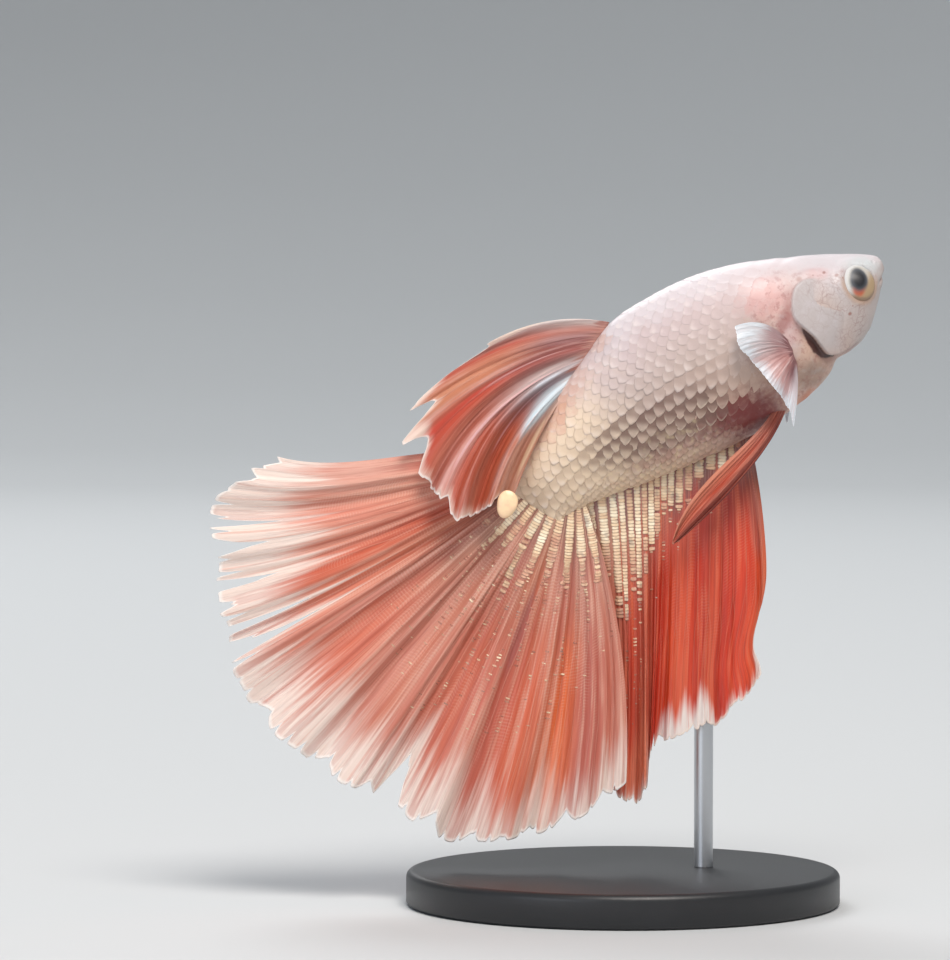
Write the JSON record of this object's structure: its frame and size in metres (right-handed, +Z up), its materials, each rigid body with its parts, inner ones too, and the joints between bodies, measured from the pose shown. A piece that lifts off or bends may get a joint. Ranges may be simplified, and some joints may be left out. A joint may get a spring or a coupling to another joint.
{
  "type": "betta fish",
  "caption": "Long-finned male betta fish turning upwards as it swims, life size, on a plain round display stand with one rod under the belly.",
  "frame": {"origin": "middle of the display stand's underside", "axes": "+Z up, +X the way the fish faces, -Y the fish's right flank"},
  "size_m": [0.0777, 0.05, 0.075],
  "materials": {
    "skin": "pale pinkish-white scaled skin with a wet gloss",
    "fin": "thin salmon-red fin membrane with pale rays",
    "red_fin": "thin deep red fin membrane with dark rays",
    "pale_fin": "clear whitish pink fin membrane with fine rays",
    "eye": "glossy wet eye with a cream iris",
    "stand_rod": "drawn steel rod, satin",
    "stand_base": "satin near-black paint on steel"
  },
  "bodies": {
    "root": {"head": "skin", "trunk": "skin", "tail_root": "skin", "gill_cover_left": "skin", "gill_cover_right": "skin", "eye_left": "eye", "eye_right": "eye", "dorsal_fin": "fin", "caudal_fin": "fin", "anal_fin": "red_fin", "pectoral_fin_left": "pale_fin", "pectoral_fin_right": "pale_fin", "pelvic_fin_left": "red_fin", "pelvic_fin_right": "red_fin", "stand_rod": "stand_rod", "stand_base": "stand_base"}
  },
  "joints": []
}
